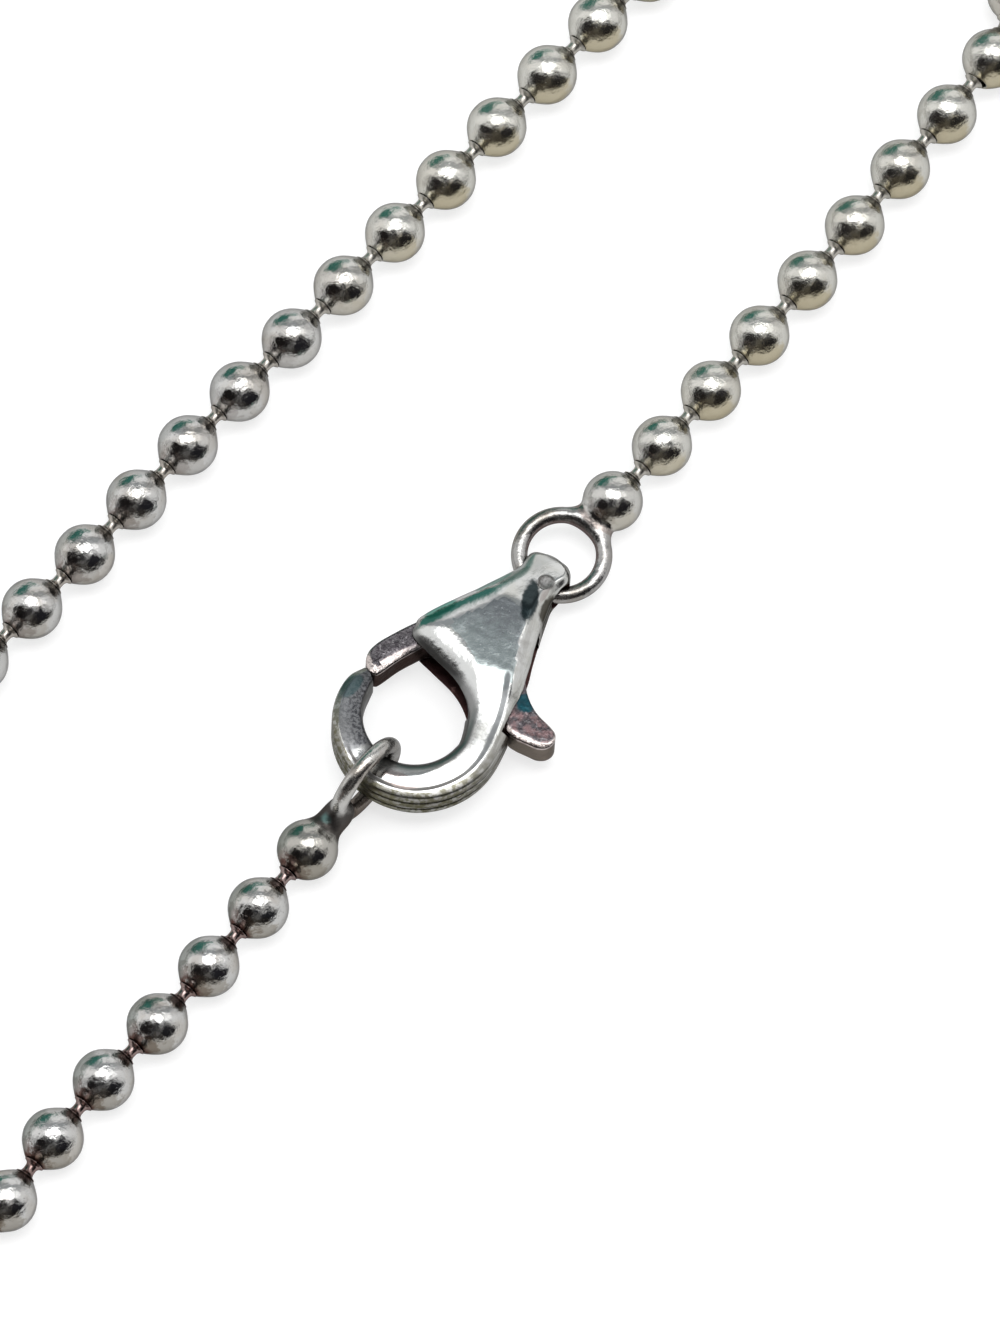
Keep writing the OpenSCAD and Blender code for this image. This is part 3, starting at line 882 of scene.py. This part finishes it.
# The small round dimple beside the bail is pressed with a ball-ended punch
punch = cast(lambda at: np.linalg.norm(at - np.array((dimple_x, dimple_y, dimple_z)), axis=-1) - dimple_r,
             (0, 12.3, 1), (1.6, 13.95, 2.65), 0.06)
dimple = smooth_piece("dimple", *punch)
dimple.data.materials.append(clasp.data.materials[0])
cut(clasp, slot, bail_hole, pin_bore, nose_end, dimple)
# The cut edges are rubbed down a little, and the nose more
work = bmesh.new()
work.from_mesh(clasp.data)
bmesh.ops.remove_doubles(work, verts=work.verts, dist=2e-6)
bmesh.ops.dissolve_degenerate(work, edges=work.edges, dist=1e-6)


def at_nose(edge):
    """Whether an edge lies in the face that ends the nose."""
    return all(abs(((np.array(v.co)[:2] / MM) - nose_corner) @ nose_out) < 0.01 for v in edge.verts)


def sharper(angle):
    """The edges that turn by more than an angle, in degrees."""
    return [e for e in work.edges if e.is_manifold and e.calc_face_angle(0) > math.radians(angle)]


bmesh.ops.bevel(work, geom=[e for e in sharper(38) if not at_nose(e)], offset=0.045 * MM, segments=2,
                profile=0.5, affect="EDGES", clamp_overlap=True)
bmesh.ops.bevel(work, geom=[e for e in sharper(30) if at_nose(e)], offset=0.13 * MM, segments=3,
                profile=0.6, affect="EDGES", clamp_overlap=True)
work.to_mesh(clasp.data)
work.free()
# What each point of the face is carries over to the cut mesh from the nearest point of the casting
near = KDTree(len(claw_points))
for i, p in enumerate(claw_points):
    near.insert(Vector(p) * MM, i)
near.balance()
nearest = [near.find(v.co)[1] for v in clasp.data.vertices]
for k, mark in enumerate(("flat", "matt", "seam", "wall", "eye", "strip")):
    layer = clasp.data.attributes.new(mark, "FLOAT", "POINT")
    layer.data.foreach_set("value", [float(claw_marks[i][k]) for i in nearest])
clasp.data.shade_smooth()
clasp.modifiers.new("even_shade", "WEIGHTED_NORMAL")
clasp.matrix_world = in_clasp
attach(clasp, "necklace")
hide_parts("clasp_body")


# ---- Lever ----
# The lever is a small flat casting on a pin inside the body: its gate closes the hook, and its tab
# is pressed with a thumb nail. It is left dull from the casting, with its lower edges rubbed bright.
lever_outline = [
    # x, y, width of the rubbed edge
    (-4.6, 4.78, 0.62), (-4.98, 5.15, 0.45), (-5.12, 5.7, 0.16), (-4.95, 6.35, 0.1), (-4.55, 7.1, 0.1),
    (-4, 8.0, 0.1), (-3.25, 9, 0.1), (-2.35, 9.9, 0.1), (-0.9, 11, 0.1), (0.3, 11.4, 0.1),
    (1.1, 11.05, 0.1), (1.45, 10.1, 0.1), (2, 8.6, 0.1), (2.72, 7.5, 0.1), (3.58, 6.8, 0.1),
    (4.6, 6.42, 0.12), (4.98, 6.2, 0.14), (5.12, 5.85, 0.2), (5.02, 5.45, 0.32), (4.7, 5.18, 0.42),
    (4.2, 5.1, 0.42), (2.8, 5.2, 0.38), (1.9, 6.4, 0.1), (0.9, 7.6, 0.1), (-0.6, 8.2, 0.1),
    (-2, 7.9, 0.12), (-2.8, 7.4, 0.26), (-3.2, 6.8, 0.38), (-3.65, 6, 0.5), (-4.05, 5.05, 0.6),
    (-4.25, 4.78, 0.64),
]
lever_half = 0.85
lever_bore_r = 0.5
per_corner = 4
rows = np.array(lever_outline)
loop = flowing(np.vstack([rows, rows[:2]]), per_corner)[:len(rows) * per_corner]
ahead, behind = np.roll(loop, -1, 0), np.roll(loop, 1, 0)
tangent = (ahead - behind)[:, :2]
tangent /= np.linalg.norm(tangent, axis=1)[:, None]
area = np.sum(loop[:, 0] * ahead[:, 1] - ahead[:, 0] * loop[:, 1])
inward = np.stack([-tangent[:, 1], tangent[:, 0]], 1) * (1 if area > 0 else -1)
# Share of the rubbed edge's width in from the outline, and how far below the face in shares of rub
edge_steps = [(0, 1.4), (0, 1), (0.05, 0.68), (0.16, 0.5), (0.5, 0.26), (0.85, 0.06), (1, 0), (1.12, 0)]
rub = 0.2
levels = [(inset, 1, drop) for inset, drop in reversed(edge_steps)]
levels += [(inset, -1, drop) for inset, drop in edge_steps]
lever_points, lever_faces = [], []
for inset, sign, drop in levels:
    ring = loop[:, :2] + inward * (inset * loop[:, 2])[:, None]
    lever_points += [(x, y, sign * (lever_half - rub * drop * d))
                     for (x, y), d in zip(ring, np.clip(loop[:, 2] / 0.4, 0.35, 1))]
m = len(loop)
for i in range(len(levels) - 1):
    lever_faces += [(i * m + j, i * m + (j + 1) % m, (i + 1) * m + (j + 1) % m, (i + 1) * m + j)
                    for j in range(m)]
lever_faces += [tuple(range(m)), tuple(reversed(range(len(lever_points) - m, len(lever_points))))]
lever = smooth_piece("clasp_lever_cast", lever_points, lever_faces)


def lever_marks(f, at, colour, rough):
    """Speckled dull faces, edges rubbed bright, brown walls, and a green stain where the tab starts."""
    across, along, off_middle = f.split(at)
    off_middle = abs(off_middle)
    ragged = f.noise(at, 3.0, 4.0, 0.6) - 0.5
    pits = f.step(f.noise(at, 6.0, 4.0, 0.75), 0.47, 0.56)
    colour = f.mix(pits * 0.85, colour, (0.04, 0.035, 0.04, 1))
    grains = f.step(f.noise(at, 4.5, 4.0, 0.75), 0.56, 0.66)
    colour = f.mix(grains * 0.5, colour, (0.34, 0.32, 0.33, 1))
    tab = f.step(across, 1.5, 2.5)
    colour = f.mix(tab * f.step(f.noise(at, 2.5), 0.42, 0.62) * 0.5, colour, (0.22, 0.13, 0.13, 1))
    wall = 1 - f.step(off_middle, lever_half - rub * 1.35, lever_half - rub * 0.9)
    colour = f.mix(wall * 0.9, colour, (0.045, 0.032, 0.028, 1))
    colour = f.mix(wall * tab * 0.75, colour, (0.2, 0.175, 0.15, 1))
    rubbed = (1 - wall) * (1 - f.step(off_middle + ragged * 0.02, lever_half - 0.035, lever_half - 0.008))
    rubbed *= 1 - f.step(along, 5.7, 7.3) * 0.75
    uneven = 0.9 - f.step(f.noise(at, 3.5, 3.0), 0.45, 0.65) * 0.45
    colour = f.mix(rubbed * uneven, colour, (0.46, 0.41, 0.39, 1))
    off = ((across - 2.95) / 0.55) ** 2 + ((along - 7.0) / 0.55) ** 2
    stain = 1 - f.step(off + ragged, 0.6, 1.2)
    colour = f.mix(stain * (0.9 - wall * 0.65), colour, (0.006, 0.05, 0.065, 1))
    return colour, rough - rubbed * 0.22 - wall * 0.05


lever.data.materials.append(metal(
    "dull_casting", plain=(0.1, 0.094, 0.1, 1), warm=(0.085, 0.072, 0.076, 1), dark=(0.035, 0.03, 0.034, 1),
    dull=0.34, grain=0.8, speckle=0.6, marks=lever_marks))
lever_bore = rod("lever_bore", (*pin_at, 0), (0, 0, 1), lever_bore_r, 8)
lever_bore.data.materials.append(lever.data.materials[0])
cut(lever, lever_bore)
lever.data.set_sharp_from_angle(angle=math.radians(50))
lever.matrix_world = in_clasp
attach(lever, "lever")
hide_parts("clasp_lever")


# ---- Pin ----
# A plain pin of drawn wire is pressed into the body's two walls, and the lever turns on it.
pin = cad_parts["lever_pin"]
pin.data.materials.clear()
pin.data.materials.append(metal(
    "drawn_pin", plain=(0.45, 0.45, 0.45, 1), warm=(0.36, 0.33, 0.3, 1), dark=(0.15, 0.13, 0.12, 1),
    dull=0.3, grain=0.3))


# ---- Table, light and camera ----
# The necklace lies on a plain white light table under soft studio light, so that it hardly throws a
# shadow. The camera is high above it and looks down at the clasp, as in the photograph.
target = Vector((61.8, -2.393, 1.5)) * MM
view_way = Vector((0.2870, 0.2408, -0.9272)).normalized()
image_right = Vector((0.6428, -0.7660, 0)).normalized()
image_up = image_right.cross(view_way)
distance = 515 * MM
lens = bpy.data.cameras.new("camera")
lens.lens = 283.7
lens.sensor_width = 36
lens.clip_start, lens.clip_end = 0.01, 20
camera = bpy.data.objects.new("camera", lens)
camera.matrix_world = Matrix.Translation(target - view_way * distance) @ Matrix(
    (image_right, image_up, -view_way)).transposed().to_4x4()
bpy.context.collection.objects.link(camera)
bpy.context.scene.camera = camera
bpy.context.scene.view_settings.view_transform = "Standard"

table = bpy.data.meshes.new("table")
table.from_pydata([(-3, -3, 0), (3, -3, 0), (3, 3, 0), (-3, 3, 0)], [], [(0, 1, 2, 3)])
table = bpy.data.objects.new("table", table)
bpy.context.collection.objects.link(table)
white = bpy.data.materials.new("white_table")
white.use_nodes = True
f = Finish(white.node_tree)
paper = f.noise(f.place(), 0.05, 2.0)
surface = f.node("ShaderNodeBsdfPrincipled", {}, {
    "Base Color": f.mix(paper, (0.42, 0.42, 0.42, 1), (0.4, 0.4, 0.4, 1)), "Roughness": 0.9,
    "Specular IOR Level": 0.1, "Emission Color": (1, 1, 1, 1), "Emission Strength": 0.68})
f.node("ShaderNodeOutputMaterial", {}, {"Surface": surface})
table.data.materials.append(white)

studio = bpy.data.worlds.new("studio")
studio.use_nodes = True
bpy.context.scene.world = studio
f = Finish(studio.node_tree)
around = f.node("ShaderNodeTexCoord", out=0)
# Where a ball of the chain shows each thing of the studio, to a viewer above the clasp: the place on
# its face, to the right and up, from -1 to 1
shown = f.node("ShaderNodeVectorMath", {"operation": "NORMALIZE"}, {
    0: f.node("ShaderNodeVectorMath", {"operation": "SUBTRACT"}, {0: around, 1: view_way})})
swirls = f.node("ShaderNodeTexNoise", {}, {"Vector": shown, "Scale": 8.0, "Detail": 3.0}, out=1)
uneven = f.node("ShaderNodeVectorMath", {"operation": "SUBTRACT"}, {0: swirls, 1: (0.5, 0.5, 0.5)})
shown = f.node("ShaderNodeVectorMath", {"operation": "ADD"}, {
    0: shown, 1: f.node("ShaderNodeVectorMath", {"operation": "SCALE"}, {0: uneven, "Scale": 0.13})})
shown_x = f.share_of(shown, image_right)
shown_y = f.share_of(shown, image_up)
studio_things = [
    # name, x, y, half wide, half high, turn, soft, colour and brightness
    ("far_wall", 0.2, 0.685, 0.42, 0.12, 0, 0.35, (1.4, 1.4, 1.4, 1)),
    ("teal_cloth", -0.34, 0.69, 0.3, 0.21, 30, 0.5, (0.07, 0.25, 0.21, 1)),
    ("teal_edge", 0.06, 0.83, 0.18, 0.09, 0, 0.4, (0.12, 0.33, 0.28, 1)),
    ("left_light", -0.45, 0.24, 0.34, 0.16, 8, 0.35, (1.4, 1.4, 1.4, 1)),
    ("right_light", 0.52, 0.18, 0.2, 0.18, -12, 0.3, (1.25, 1.25, 1.25, 1)),
    ("window", 0.24, 0.25, 0.19, 0.115, -10, 0.3, (2.6, 2.6, 2.6, 1)),
    ("soft_box", 0.02, 0.23, 0.2, 0.13, 0, 0.2, (6.0, 6.0, 6.0, 1)),
    ("grey_ceiling", 0.03, 0.45, 0.44, 0.085, 0, 0.3, (0.48, 0.51, 0.53, 1)),
    ("dark_arc", 0.5, 0.53, 0.25, 0.03, -8, 0.5, (0.07, 0.07, 0.07, 1)),
    ("stand", 0.3, 0.2, 0.018, 0.18, 4, 0.5, (0.15, 0.15, 0.15, 1)),
    ("grey_near", 0.04, -0.28, 0.42, 0.2, -6, 0.3, (0.2, 0.195, 0.19, 1)),
    ("dark_left", -0.34, -0.12, 0.24, 0.22, -15, 0.1, (0.02, 0.018, 0.018, 1)),
    ("dark_middle", -0.02, -0.04, 0.09, 0.16, 0, 0.15, (0.03, 0.03, 0.035, 1)),
    ("dark_right", 0.37, -0.23, 0.3, 0.2, 12, 0.1, (0.025, 0.025, 0.03, 1)),
    ("right_peak", 0.3, -0.05, 0.1, 0.14, -20, 0.15, (0.03, 0.03, 0.035, 1)),
    ("dark_low", 0.02, -0.45, 0.46, 0.07, -6, 0.3, (0.05, 0.043, 0.038, 1)),
    ("warm_near", -0.55, -0.42, 0.3, 0.15, -20, 0.4, (0.25, 0.16, 0.12, 1)),
]
light = (0.85, 0.85, 0.85, 1)
for name, x, y, wide, high, turn, soft, colour in studio_things:
    off = oval(shown_x - x, shown_y - y, turn, wide, high)
    light = f.mix(1 - f.step(off, 1 - soft, 1 + soft), light, colour)
background = f.node("ShaderNodeBackground", {}, {"Color": light, "Strength": 1.0})
f.node("ShaderNodeOutputWorld", {}, {"Surface": background})
